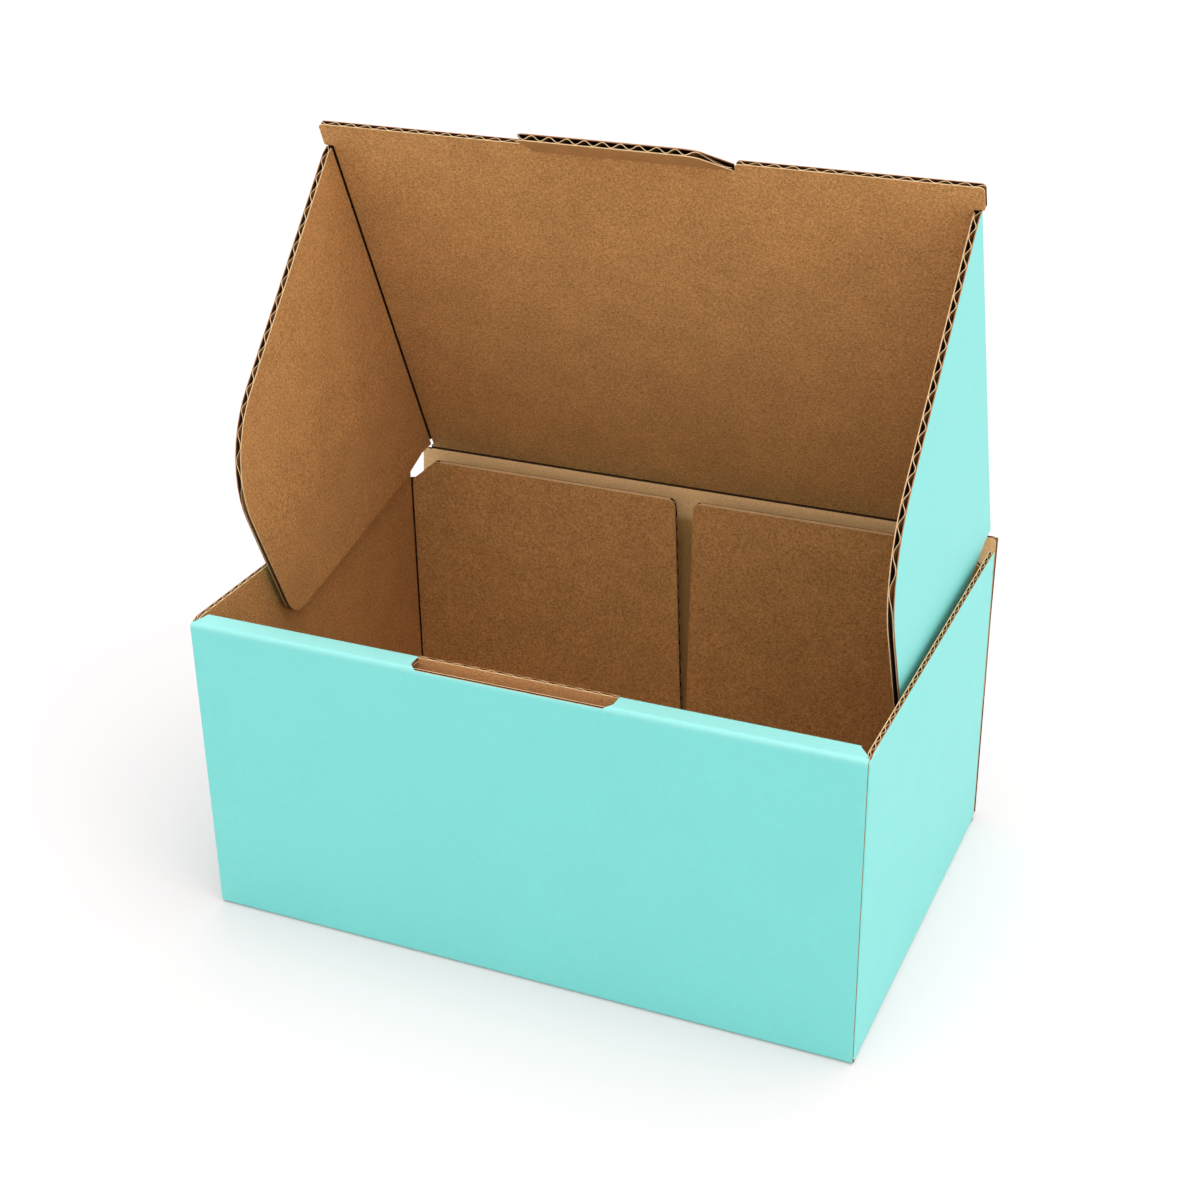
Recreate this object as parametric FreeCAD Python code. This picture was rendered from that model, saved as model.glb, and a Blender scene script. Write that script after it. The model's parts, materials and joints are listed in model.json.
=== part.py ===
"""Corrugated mailer box, standing with its lid open.

One folded blank of single-wall board: a tray with a roll-over front wall, a back wall that is
held only at its bottom fold, a lid with two side wings and a tuck tab, and two rear flaps.
Millimetres, +X right, +Y back, +Z up; the origin is the middle of the underside of the base.
"""

import FreeCAD
import Part

import math
import os

Vec = FreeCAD.Vector

# Board
board = 2.5
liner = 0.35
medium = 0.3
flute_pitch = 6.5
fine_flute_pitch = 5.4
flute_depth = 2.0

# Tray
box_width = 250.8
box_depth = 168.0
side_height = 120.4
front_inset = 0.4
front_drop = 0.4
strip_depth = 9.0
fold_radius = 2.0
inner_fold_radius = 0.4
strip_fold_radius = 1.5
strip_corner = 3.0
strip_corner_slant = 1.0
strip_end_run = 3.8
notch_half_width = 38.0
notch_drop = 0.8
notch_corner = 3.0
dust_flap_reach = 44.0
lock_tab_width = 30.0
lock_tab_offset = 62.0

# Rear flaps
flap_drop = 0.6
flap_gap_top = 8.0
flap_gap_bottom = 1.6
flap_corner_drop = 9.5
flap_corner_run = 11.0
flap_corner_radius = 3.0

# Back wall
wall_ear_drop = 0.2
wall_ear_step = 4.2
wall_ear_radius = 1.5
wall_taper = 1.8
wall_lean_angle = 4.15

# Lid
lid_lift = 1.85
lid_setback = 3.6
lid_inset = 1.8
lid_corner_radius = 1.5
lid_open_angle = 62.75

# Wings
wing_inset = 7.0
wing_crease_angle = 0.63
wing_floor_gap = 3.0
wing_setback = 9.2
wing_front_slant = 1.0
wing_front_run = 50.2
wing_rear_inset = 4.9
wing_rear_slant = 0.4
wing_rear_drop = 9.0
wing_rear_straight = 25.0
wing_rear_run = 22.0
wing_rear_radius = 10.0
wing_front_radius = 45.0
wing_shoulder_radius = 5.0

# Tuck tab
tab_setback = 2.25
tab_length = 27.9
tab_half_width = 37.0
tab_taper = 4.4
tab_corner_radius = 6.0
tab_fold_angle = 44.6

# Clearances
fold_gap = 0.3
layer_gap = 0.4
seat_gap = 0.5

# Cutters: how far they reach past what they cut, and keep off what stays
cut_over = 1.0
cut_clear = 0.05

# Derived places
half_board = board / 2
front_y = -box_depth / 2
back_y = box_depth / 2
side_x = box_width / 2
inner_x = side_x - board
front_height = side_height - front_drop
front_half_width = side_x - front_inset
inner_front_y = front_y + strip_depth
roll_over_half_width = inner_x - fold_gap
strip_end_half_width = front_half_width - strip_end_run
dust_flap_y = front_y + strip_depth / 2 - half_board
flap_height = side_height - flap_drop
flap_face_y = back_y - 2 * board - layer_gap
side_end_y = flap_face_y - fold_gap
base_end_y = back_y - board - fold_gap
wall_ear_height = side_height - wall_ear_drop
lid_axis_height = side_height + lid_lift
wall_axis = Vec(0, back_y - half_board, half_board)
lid_axis = Vec(0, back_y - half_board, lid_axis_height)
lid_under_z = lid_axis_height - half_board
lid_length = box_depth - lid_setback
lid_front_half_width = side_x - lid_inset
wing_depth = side_height - wing_floor_gap
wing_start = lid_length - wing_setback
wing_bottom_front = wing_start - wing_front_run
crease_half_width_rear = side_x - wing_inset
tab_crease = lid_length - tab_setback
tab_end_half_width = tab_half_width - tab_taper
TO_FRONT = Vec(-1, 0, 0)


def box(x0, x1, y0, y1, z0, z1):
    """A block between two corners."""
    return Part.makeBox(x1 - x0, y1 - y0, z1 - z0, Vec(x0, y0, z0))


def rounded_sheet(corners, depth):
    """Extrude a closed outline; each corner is a point and the radius that rounds it."""
    starts, ends, arcs = [], [], []
    count = len(corners)
    for i, (point, radius) in enumerate(corners):
        to_last = (corners[i - 1][0] - point).normalize()
        to_next = (corners[(i + 1) % count][0] - point).normalize()
        if radius <= 0:
            starts.append(point)
            ends.append(point)
            continue
        half = to_last.getAngle(to_next) / 2
        run = radius / math.tan(half)
        middle = (to_last + to_next).normalize() * (radius / math.sin(half) - radius)
        starts.append(point + to_last * run)
        ends.append(point + to_next * run)
        arcs.append((i, Part.Arc(starts[i], point + middle, ends[i]).toShape()))
    edges = [arc for _, arc in arcs]
    for i in range(count):
        a, b = ends[i], starts[(i + 1) % count]
        if a.distanceToPoint(b) > 1e-6:
            edges.append(Part.makeLine(a, b))
    wire = Part.Wire(Part.__sortEdges__(edges))
    return Part.Face(wire).extrude(depth)


def both_sides(shape):
    """A shape and its mirror image across the middle of the box."""
    return shape.fuse(shape.mirror(Vec(0, 0, 0), Vec(1, 0, 0)))


def turned(shape, point, axis, degrees):
    """A copy of a shape, turned about an axis through a point."""
    copy = shape.copy()
    copy.rotate(point, axis, degrees)
    return copy


def flute_pockets(start, along, inward, across, length, pitch):
    """Blind pockets between the liners and the wavy medium, along one cut edge.

    start is the middle of the edge's thickness at its first end; along, inward and across are
    unit vectors. Pockets stand point up and point down by turns.
    """
    height = half_board - liner
    half_base = pitch / 2 - medium * 1.5
    count = int((length - pitch / 2) / (pitch / 2))
    first = (length - (count - 1) * pitch / 2) / 2
    pockets = []
    for i in range(count):
        side = 1 if i % 2 else -1
        middle = start + along * (first + i * pitch / 2)
        base = middle - across * (side * height)
        corners = (
            base - along * half_base,
            base + along * half_base,
            base + across * (side * (2 * height - medium * 1.5)),
        )
        face = Part.Face(Part.makePolygon([*corners, corners[0]]))
        face.translate(inward * -cut_over)
        pockets.append(face.extrude(inward * (flute_depth + cut_over)))
    return pockets


def cut_flutes(shape, runs):
    """Cut the flutes into each named run of edge."""
    pockets = []
    for run in runs:
        pockets.extend(flute_pockets(*run))
    return shape.cut(Part.makeCompound(pockets))


# ---- tray ---------------------------------------------------------------------------------

def base_and_sides():
    """The base with a side wall folded up along each end."""
    top = side_height
    corners = [
        (Vec(-side_x, dust_flap_y, top), 0),
        (Vec(-side_x, dust_flap_y, 0), fold_radius),
        (Vec(side_x, dust_flap_y, 0), fold_radius),
        (Vec(side_x, dust_flap_y, top), 0),
        (Vec(inner_x, dust_flap_y, top), 0),
        (Vec(inner_x, dust_flap_y, board), inner_fold_radius),
        (Vec(-inner_x, dust_flap_y, board), inner_fold_radius),
        (Vec(-inner_x, dust_flap_y, top), 0),
    ]
    trough = rounded_sheet(corners, Vec(0, side_end_y - dust_flap_y, 0))
    rear_sill = box(-inner_x, inner_x, side_end_y, base_end_y, 0, board)
    return trough.fuse(rear_sill)


def dust_flaps():
    """The side walls' front flaps, trapped between the two layers of the front wall."""
    flap = box(
        dust_flap_reach, side_x, dust_flap_y, dust_flap_y + board,
        board - inner_fold_radius, front_height - board - 2 * fold_gap,
    )
    lift = box(
        dust_flap_reach - cut_over, inner_x - board, dust_flap_y, dust_flap_y + board,
        0, board + seat_gap,
    )
    return both_sides(flap.cut(lift))


def round_front_corners(shape):
    """Round the upright folds between the side walls and their front flaps."""
    block = box(
        side_x - fold_radius, side_x + cut_over, dust_flap_y - cut_clear, dust_flap_y + fold_radius,
        board, side_height,
    )
    bar = Part.makeCylinder(
        fold_radius, side_height,
        Vec(side_x - fold_radius, dust_flap_y + fold_radius, 0),
    )
    return shape.cut(both_sides(block.cut(bar)))


def roll_over_front():
    """The front wall: up, over as a narrow strip and down again inside."""
    x = -front_half_width
    y0, y1 = front_y, inner_front_y
    top = front_height
    low = board + fold_gap
    corners = [
        (Vec(x, dust_flap_y, 0), 0),
        (Vec(x, y0, 0), fold_radius),
        (Vec(x, y0, top), strip_fold_radius),
        (Vec(x, y1, top), strip_fold_radius),
        (Vec(x, y1, low), 0),
        (Vec(x, y1 - board, low), 0),
        (Vec(x, y1 - board, top - board), inner_fold_radius),
        (Vec(x, y0 + board, top - board), inner_fold_radius),
        (Vec(x, y0 + board, board), inner_fold_radius),
        (Vec(x, dust_flap_y, board), 0),
    ]
    wall = rounded_sheet(corners, Vec(2 * front_half_width, 0, 0))
    beside_inner = box(
        strip_end_half_width, side_x, y0 + board + cut_clear, y1 + cut_over,
        board + cut_clear, top - board,
    )
    z = Vec(0, 0, front_height)
    strip_end = rounded_sheet(
        [
            (Vec(strip_end_half_width, y1 + cut_over, board), 0),
            (Vec(strip_end_half_width, y1, board), 0),
            (Vec(strip_end_half_width + strip_corner_slant, y1 - strip_corner, board), strip_corner),
            (Vec(roll_over_half_width, y0 + board, board), 0),
            (Vec(front_half_width, y0 + strip_fold_radius, board), 0),
            (Vec(side_x + cut_over, y0 + strip_fold_radius, board), 0),
            (Vec(side_x + cut_over, y1 + cut_over, board), 0),
        ],
        z,
    )
    strip_end = strip_end.cut(
        box(0, side_x + 2 * cut_over, y0, y0 + board + cut_clear, 0, top - board)
    )
    return wall.cut(both_sides(beside_inner.fuse(strip_end)))


def strip_notch():
    """The opening in the strip that takes the tuck tab."""
    x, y0, y1 = notch_half_width, front_y - cut_over, inner_front_y + cut_over
    z = front_height - board - cut_over
    corners = [
        (Vec(-x, front_y, z), notch_corner),
        (Vec(x, front_y, z), notch_corner),
        (Vec(x, y1, z), 0),
        (Vec(-x, y1, z), 0),
    ]
    opening = rounded_sheet(corners, Vec(0, 0, 2 * board + cut_over))
    edge_z = front_height - notch_drop
    front_edge = box(-x, x, y0, front_y + board, z - cut_over, edge_z)
    rear_edge = box(-x, x, inner_front_y - board, y1, z - cut_over, edge_z)
    return opening.cut(front_edge.fuse(rear_edge))


def lock_tabs():
    """The roll-over panel's two tabs and the slots in the base that they stand in."""
    x0 = lock_tab_offset - lock_tab_width / 2
    x1 = lock_tab_offset + lock_tab_width / 2
    y0, y1 = inner_front_y - board, inner_front_y
    tabs = both_sides(box(x0, x1, y0, y1, fold_gap, board + 2 * fold_gap))
    g = fold_gap
    slots = both_sides(box(x0 - g, x1 + g, y0 - g, y1 + g, -cut_over, board + g / 2))
    return tabs, slots


def tray():
    """Base, side walls, trapped flaps and roll-over front: one folded piece."""
    tabs, slots = lock_tabs()
    shape = base_and_sides().fuse([dust_flaps(), roll_over_front()])
    shape = round_front_corners(shape)
    shape = shape.cut(slots).fuse(tabs).cut(strip_notch())
    x, y, z = Vec(1, 0, 0), Vec(0, 1, 0), Vec(0, 0, 1)
    side_run = side_end_y - inner_front_y - 2 * fold_gap
    start_y = inner_front_y + 2 * fold_gap
    mid_side = side_x - half_board
    edge_z = front_height - notch_drop
    notch = 2 * (notch_half_width - notch_corner)
    notch_x = notch_corner - notch_half_width
    runs = [
        (Vec(-mid_side, start_y, side_height), y, -z, x, side_run, fine_flute_pitch),
        (Vec(mid_side, start_y, side_height), y, -z, x, side_run, fine_flute_pitch),
        (Vec(notch_x, inner_front_y - half_board, edge_z), x, -z, y, notch, flute_pitch),
        (Vec(notch_x, front_y + half_board, edge_z), x, -z, y, notch, flute_pitch),
    ]
    return cut_flutes(shape.removeSplitter(), runs)


# ---- back wall and lid, built closed and upright ---------------------------------------------

def back_wall():
    """The back wall, round along its bottom fold, with a step down at each end of its top."""
    y0 = back_y - board
    top = lid_axis_height - half_board - fold_gap
    wide = side_x - front_inset
    ear = wide - wall_taper
    hinge = ear - wall_ear_step
    right = [
        (Vec(wide, y0, half_board), 0),
        (Vec(ear, y0, wall_ear_height), wall_ear_radius),
        (Vec(hinge, y0, wall_ear_height), 0),
        (Vec(hinge, y0, top), 0),
    ]
    left = [(Vec(-p.x, p.y, p.z), r) for p, r in reversed(right)]
    sheet = rounded_sheet(right + left, Vec(0, board, 0))
    fold = Part.makeCylinder(half_board, 2 * wide, wall_axis - Vec(wide, 0, 0), Vec(1, 0, 0))
    return sheet.fuse(fold).removeSplitter()


def lid_point(x, u, z=lid_under_z):
    """A place on the closed lid: u is the distance in front of its fold."""
    return Vec(x, lid_axis.y - u, z)


def crease_x(u):
    """Half the distance between the two wing folds, at a distance u from the lid's fold."""
    return crease_half_width_rear + math.tan(math.radians(wing_crease_angle)) * u


def lid():
    """The lid panel, round along its fold, stepped in at the wings and at the tuck tab."""
    rear = crease_x(0) - fold_gap
    front = crease_x(wing_start) - fold_gap
    wide = lid_front_half_width
    ear = wing_start + fold_gap
    inset = tab_crease - half_board - fold_gap
    slot = tab_half_width + 3 * fold_gap
    right = [
        (lid_point(rear, 0), 0),
        (lid_point(front, ear), 0),
        (lid_point(wide, ear), lid_corner_radius),
        (lid_point(wide, lid_length), lid_corner_radius),
        (lid_point(slot, lid_length), lid_corner_radius),
        (lid_point(slot, inset), 0),
    ]
    left = [(Vec(-p.x, p.y, p.z), r) for p, r in reversed(right)]
    panel = rounded_sheet(right + left, Vec(0, 0, board))
    fold = Part.makeCylinder(half_board, 2 * rear, lid_axis - Vec(rear, 0, 0), Vec(1, 0, 0))
    shape = panel.fuse(fold).removeSplitter()
    run = wide - slot - 2 * lid_corner_radius
    y, x = Vec(0, 1, 0), Vec(1, 0, 0)
    up = Vec(0, 0, 1)
    first = slot + lid_corner_radius
    middle = lid_axis_height
    runs = [
        (lid_point(first, lid_length, middle), x, y, up, run, flute_pitch),
        (lid_point(-first, lid_length, middle), -x, y, up, run, flute_pitch),
    ]
    return cut_flutes(shape, runs)


def wing_point(u, drop):
    """A place on the right wing's inner face: u from the lid's fold, drop below the crease."""
    return Vec(crease_half_width_rear, lid_axis.y - u, lid_under_z - drop)


def right_wing():
    """The right side wing of the closed lid, hanging from its fold."""
    corners = [
        (wing_point(wing_rear_inset / 2, 0), 0),
        (wing_point(wing_start, 0), wing_shoulder_radius / 4),
        (wing_point(wing_start - wing_front_slant, wing_shoulder_radius), wing_shoulder_radius),
        (wing_point(wing_bottom_front, wing_depth), wing_front_radius),
        (wing_point(wing_rear_run, wing_depth), wing_rear_radius),
        (wing_point(wing_rear_inset + wing_rear_slant, wing_rear_straight), wing_rear_radius),
        (wing_point(wing_rear_inset, wing_rear_drop), 0),
    ]
    sheet = rounded_sheet(corners, Vec(board, 0, 0))
    fold_start = wing_rear_inset
    fold_run = wing_start - wing_shoulder_radius / 2 - fold_start
    origin = wing_point(fold_start, 0)
    fold = Part.makeCylinder(board, fold_run, origin, Vec(0, -1, 0))
    quarter = box(
        origin.x, origin.x + 2 * board, origin.y - 2 * fold_run, origin.y,
        origin.z, origin.z + 2 * board,
    )
    shape = sheet.fuse(fold.common(quarter))
    top = wing_point(wing_start - wing_front_slant, wing_shoulder_radius)
    bottom = wing_point(wing_bottom_front, wing_depth)
    along = (bottom - top).normalize()
    slope = wing_front_radius * math.tan((math.pi / 2 - math.atan2(-along.z, along.y)) / 2)
    run = top.distanceToPoint(bottom) - slope - wing_shoulder_radius
    inward = Vec(0, -along.z, along.y)
    start = top + along * wing_shoulder_radius + Vec(half_board, 0, 0)
    shape = cut_flutes(shape, [(start, along, inward, Vec(1, 0, 0), run, flute_pitch)])
    corner = Vec(crease_half_width_rear, lid_axis.y, lid_under_z)
    return turned(shape, corner, Vec(0, 0, 1), wing_crease_angle)


def tuck_tab():
    """The tuck tab, flat with the closed lid, then folded down to its resting angle."""
    x0, x1 = tab_half_width, tab_end_half_width
    end = tab_crease + tab_length
    corners = [
        (lid_point(-x0, tab_crease), 0),
        (lid_point(x0, tab_crease), 0),
        (lid_point(x1, end), tab_corner_radius),
        (lid_point(-x1, end), tab_corner_radius),
    ]
    sheet = rounded_sheet(corners, Vec(0, 0, board))
    axis = lid_point(-x0, tab_crease, lid_axis_height)
    fold = Part.makeCylinder(half_board, 2 * x0, axis, Vec(1, 0, 0))
    shape = sheet.fuse(fold).removeSplitter()
    run = 2 * (x1 - tab_corner_radius / 2)
    start = lid_point(-run / 2, end, lid_axis_height)
    edge = (start, Vec(1, 0, 0), Vec(0, 1, 0), Vec(0, 0, 1), run, flute_pitch)
    return turned(cut_flutes(shape, [edge]), axis, Vec(1, 0, 0), tab_fold_angle)


def left_rear_flap():
    """The left side wall's rear flap, in front of the back wall."""
    y = flap_face_y
    z0 = board + seat_gap
    corners = [
        (Vec(-inner_x, y, z0), 0),
        (Vec(-inner_x, y, flap_height - flap_corner_drop), 0),
        (Vec(-inner_x + flap_corner_run, y, flap_height), flap_corner_radius),
        (Vec(-flap_gap_top / 2, y, flap_height), flap_corner_radius),
        (Vec(-flap_gap_bottom / 2, y, z0), 0),
    ]
    sheet = rounded_sheet(corners, Vec(0, board, 0))
    height = flap_height - flap_corner_drop - z0
    fold = Part.makeCylinder(board, height, Vec(-inner_x, y, z0))
    quarter = box(-side_x - cut_over, -inner_x, y, y + 2 * board, z0, flap_height)
    return sheet.fuse(fold.common(quarter)).removeSplitter()


def leaned(shape):
    """Lean a piece back with the back wall."""
    return turned(shape, wall_axis, TO_FRONT, wall_lean_angle)


def opened(shape):
    """Open a piece with the lid, then lean it with the back wall."""
    return leaned(turned(shape, lid_axis, TO_FRONT, lid_open_angle))


def mirrored(shape):
    """The same piece for the other side of the box."""
    return shape.mirror(Vec(0, 0, 0), Vec(1, 0, 0))


def main():
    """Build every node where it stands and write one STEP file each."""
    os.makedirs("parts", exist_ok=True)
    wing = right_wing()
    flap = left_rear_flap()
    nodes = {
        "tray": tray(),
        "back_wall": leaned(back_wall()),
        "lid": opened(lid()),
        "left_wing": opened(mirrored(wing)),
        "right_wing": opened(wing),
        "tuck_tab": opened(tuck_tab()),
        "left_rear_flap": flap,
        "right_rear_flap": mirrored(flap),
    }
    for name, shape in nodes.items():
        solids = shape.Solids
        print(name, len(solids), "solid", shape.isValid(), round(shape.Volume), "mm3")
        solids[0].exportStep(f"parts/{name}.step")


main()
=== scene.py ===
"""Looks of a corrugated mailer box that stands open: printed and kraft liners, fluting, folds."""

import json
import math
from contextlib import contextmanager

import bmesh
import bpy
from bpy.props import FloatProperty, FloatVectorProperty, PointerProperty
from mathutils import Matrix, Vector


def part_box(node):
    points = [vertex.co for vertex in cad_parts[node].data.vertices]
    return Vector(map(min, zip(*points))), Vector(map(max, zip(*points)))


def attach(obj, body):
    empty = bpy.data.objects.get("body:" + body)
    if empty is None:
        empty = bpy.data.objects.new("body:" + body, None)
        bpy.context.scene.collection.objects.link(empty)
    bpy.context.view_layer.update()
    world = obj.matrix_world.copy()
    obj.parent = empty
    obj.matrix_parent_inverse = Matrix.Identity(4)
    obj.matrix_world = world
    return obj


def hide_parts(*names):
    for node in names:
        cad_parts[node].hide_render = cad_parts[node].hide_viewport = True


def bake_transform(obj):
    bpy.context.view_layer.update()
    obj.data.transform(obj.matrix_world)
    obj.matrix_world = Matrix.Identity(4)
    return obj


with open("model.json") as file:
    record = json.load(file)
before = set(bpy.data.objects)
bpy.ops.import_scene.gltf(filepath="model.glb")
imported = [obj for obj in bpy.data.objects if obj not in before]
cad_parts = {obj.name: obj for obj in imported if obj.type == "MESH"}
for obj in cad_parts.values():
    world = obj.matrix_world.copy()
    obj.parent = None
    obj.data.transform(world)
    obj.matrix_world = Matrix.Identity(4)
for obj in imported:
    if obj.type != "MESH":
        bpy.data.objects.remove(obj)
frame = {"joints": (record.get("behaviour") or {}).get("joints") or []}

bl_info = {
    "name": "Corrugated mailer box",
    "version": (1, 0, 0),
    "blender": (4, 5, 0),
    "location": "3D View > Sidebar > Mailer",
    "description": "Dresses a folded mailer box in printed and kraft liners over real fluting",
    "category": "Object",
}

MM = 0.001
NEAR = 1e-5
HAIR = 0.1 * MM  # air that keeps two layers of paper apart
LIP = 0.05 * MM  # how far the waves stay below a cut edge
CLEAR = 1.0 * MM  # how far the waves stay from a fold
OVER = 1.0 * MM  # how far a cutter reaches past what it cuts
SKIN_END = 0.4 * MM  # how far a fold's skin stays short of the fold's ends
SMOOTH = math.radians(40)
FACES_PER_FLUTE = 12
JOINTS = {joint["name"]: joint for joint in frame["joints"]}


# ---- where things stand -----------------------------------------------------------------

def joint_place(name):
    """The place of a joint at rest."""
    return Vector(JOINTS[name]["pos_m"])


def joint_axis(name):
    """The direction of a joint's axis at rest."""
    return Vector(JOINTS[name]["axis"]).normalized()


def run_between(first, second):
    """The distance from one joint to another at rest."""
    return (joint_place(second) - joint_place(first)).length


def outward(frame_here):
    """The direction that a panel's outside faces."""
    return (frame_here.to_3x3() @ Vector((0, 0, 1))).normalized()


def length(name, text, default):
    """A length in metres, written in millimetres."""
    return FloatProperty(
        name=name, description=text, default=default * MM, unit="LENGTH", precision=5
    )


def colour(name, text, default):
    """A colour as linear red, green and blue."""
    return FloatVectorProperty(
        name=name, description=text, default=default, size=3, subtype="COLOR", min=0, max=1
    )


def linear(red, green, blue):
    """A display colour from 0 to 255 as linear values."""
    return tuple(
        value / 12.92 if value <= 0.04045 else ((value + 0.055) / 1.055) ** 2.4
        for value in (red / 255, green / 255, blue / 255)
    )


class MailerSizes(bpy.types.PropertyGroup):
    """Sizes of the board and of the panels' outlines"""

    board: length("Board", "Thickness of the board", 2.5)
    liner: length("Liner", "Thickness of each liner", 0.35)
    medium: length("Fluting", "Thickness of the wavy paper", 0.25)
    pitch: length("Flute pitch", "From one flute to the next", 6.5)
    side_pitch: length("Side flute pitch", "From one flute to the next in the side walls", 5.4)
    gap: length("Fold gap", "Air beside each fold", 0.3)
    fold: length("Fold radius", "Outside of the tray's folds", 2.0)
    inner_fold: length("Inner radius", "Inside of the tray's folds", 0.4)
    rim_fold: length("Rim radius", "Outside of the front wall's top folds", 1.6)
    inset: length("Front inset", "How far the front wall stands in from the sides", 0.4)
    front_drop: length("Front drop", "How far the front wall stays below the sides", 0.4)
    strip: length("Strip", "Depth of the strip on top of the front wall", 9.4)
    strip_end: length("Strip end", "How far the strip's right end runs in", 4.6)
    strip_end_left: length("Left strip end", "How far the strip's left end runs in", 2.8)
    strip_turn: length("Strip turn", "Radius of the strip's right end; half of it at the left", 1.6)
    strip_slant: length("Strip slant", "How far the strip's ends run out past their turn", 0.25)
    strip_tuck: length("Strip tuck", "How far the strip's inner layers end inside it", 2.0)
    side_board: length("Side board", "Thickness of the pressed side walls", 1.8)
    front_board: length("Front board", "Thickness of each pressed layer of the front wall", 1.7)
    front_end: length("Front end", "Thickness the front wall is pressed to at its ends", 1.1)
    front_press: length("Front press", "Over what length the front wall's ends are pressed", 4.0)
    front_dip: length("Side wall dip", "How far the side walls dip towards the front", 1.0)
    front_ramp: length("Side wall ramp", "Over what length the side walls dip", 3.6)
    notch: length("Notch", "Half the width of the notch in the strip", 37.5)
    notch_drop: length("Notch drop", "How far the notch's edges lie below the strip", 0.8)
    notch_corner: length("Notch corner", "Radius of the notch's front corners", 4.2)
    dust_reach: length("Dust flap reach", "Where the trapped flaps end, from the middle", 44.0)
    dust_jog: length("Dust flap jog", "Over what length the trapped flaps step back", 4.0)
    crease: length("Crease", "How far the wings' inner liner starts from the fold", 1.1)
    crease_depth: length("Crease depth", "How far the lid's inside crease dips to its fold", 0.8)
    crease_reach: length("Crease reach", "How far the lid's inside crease runs past its sides", 1.4)
    corner: length("Corner radius", "Radius of the lid's and the back wall's corners", 1.5)
    step_corner: length("Step corner radius", "Radius of the lid's corners beside the wings", 0.8)
    ear_drop: length("Ear drop", "How far the back wall's ears stay below the lid", 0.8)
    ear_step: length("Ear step", "Width of the steps beside the lid's fold", 4.2)
    wall_taper: length("Wall taper", "How far the back wall narrows to its top", 1.8)
    wing_start: length("Wing start", "From the lid's fold to the wings' front ends", 155.2)
    wing_depth: length("Wing depth", "From the lid down to the wings' lower edges", 117.4)
    wing_rear: length("Wing rear", "From the lid's fold to the wings' rear edges", 4.9)
    wing_tip_radius: length("Wing tip radius", "Radius where a wing leaves the crease", 0.3)
    wing_rear_drop: length("Wing rear drop", "Down to where the rear edge stops slanting", 9.0)
    wing_rear_straight: length("Wing rear straight", "Down to the rear edge's rounded bend", 25.0)
    wing_rear_slant: length("Wing rear slant", "How far the rear edge runs in below its drop", 0.4)
    wing_rear_run: length("Wing rear run", "From the lid's fold to the lower edge's rear end", 22.0)
    wing_rear_radius: length("Wing rear radius", "Radius of both bends of the rear edge", 10.0)
    wing_front_run: length("Wing front run", "How far the lower edge's front end runs in", 50.2)
    wing_front_radius: length("Wing front radius", "Radius of the front edge's bend", 45.0)
    wing_shoulder: length("Wing shoulder", "Down to where the front edge starts to slant", 4.0)
    wing_shoulder_slant: length("Wing shoulder slant", "How far the shoulder runs in", 0.5)
    wing_shoulder_radius: length("Wing shoulder radius", "Radius of the wings' shoulders", 3.0)
    tab_length: length("Tab length", "From the tab's crease to its free edge", 27.9)
    tab_taper: length("Tab taper", "How far each side of the tab runs in", 4.4)
    tab_radius: length("Tab radius", "Radius of the tab's corners", 6.0)
    lid_length: length("Lid length", "From the lid's fold to its front edge", 164.4)
    flap_gap: length("Flap gap", "Space between the rear flaps at the top", 8.0)
    flap_gap_low: length("Flap gap below", "Space between the rear flaps at the base", 1.6)
    flap_corner_run: length("Flap corner run", "Width of the rear flaps' outer chamfers", 11.0)
    flap_corner_drop: length("Flap corner drop", "Height of the rear flaps' outer chamfers", 9.5)
    flap_corner_radius: length("Flap corner radius", "Radius of the rear flaps' corners", 3.0)


class MailerColours(bpy.types.PropertyGroup):
    """Colours of the print and of the bare paper, and of the painted shade in folds and between
    liners
    """

    ink: colour("Print", "Ink on the outer liner", linear(119, 211, 205))
    kraft: colour("Kraft", "Bare paper inside", linear(212, 154, 94))
    # Painted shade: this dark brown stands for the shade inside folds and between liners, not for
    # the paper's own colour
    painted_shade: colour("Shade", "Bare paper inside folds and between liners", linear(58, 36, 16))
    edge: colour("Cut edge", "Fresh edge of a liner", linear(228, 192, 146))
    outer_edge: colour("Outer cut edge", "Edge of the printed liner", linear(178, 124, 76))
    flute: colour("Fluting", "Wavy paper between the liners", linear(132, 90, 52))


def sizes():
    """The sizes in use."""
    return bpy.context.scene.mailer_sizes


def tray_box():
    """Half width, front, back and height of the tray."""
    low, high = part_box("tray")
    return high.x, low.y, high.y, high.z


def lid_turn():
    """How the lid is turned from lying shut."""
    run = joint_place("tuck_tab_fold") - joint_place("lid_fold")
    return Matrix.Rotation(-math.atan2(run.z, -run.y), 4, "X")


def lid_frame():
    """The lid's own axes: X right, -Y to its free edge, Z outward; origin on its fold."""
    return Matrix.Translation(joint_place("lid_fold")) @ lid_turn()


def wall_frame():
    """The back wall's own axes: X right, -Y up the wall, Z outward; origin on its fold."""
    run = joint_place("lid_fold") - joint_place("back_wall_fold")
    lean = math.atan2(run.y, run.z)
    turn = Matrix.Rotation(-math.pi / 2 - lean, 4, "X")
    return Matrix.Translation(joint_place("back_wall_fold")) @ turn


def tab_frame():
    """The tuck tab's own axes, as the lid's, with the origin on the tab's crease."""
    fold = math.radians(JOINTS["tuck_tab_fold"]["range_deg"][1])
    turn = lid_turn() @ Matrix.Rotation(fold, 4, "X")
    return Matrix.Translation(joint_place("tuck_tab_fold")) @ turn


def wing_frame():
    """The right wing's own axes: X down the wing, -Y along the crease, Z outward."""
    along = joint_axis("right_wing_fold")
    lid_out = lid_turn().to_3x3() @ Vector((0, 0, 1))
    out = along.cross(lid_out).normalized()
    down = along.cross(out).normalized()
    turn = Matrix((down, along, out)).transposed().to_4x4()
    return Matrix.Translation(joint_place("right_wing_fold")) @ turn


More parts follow.
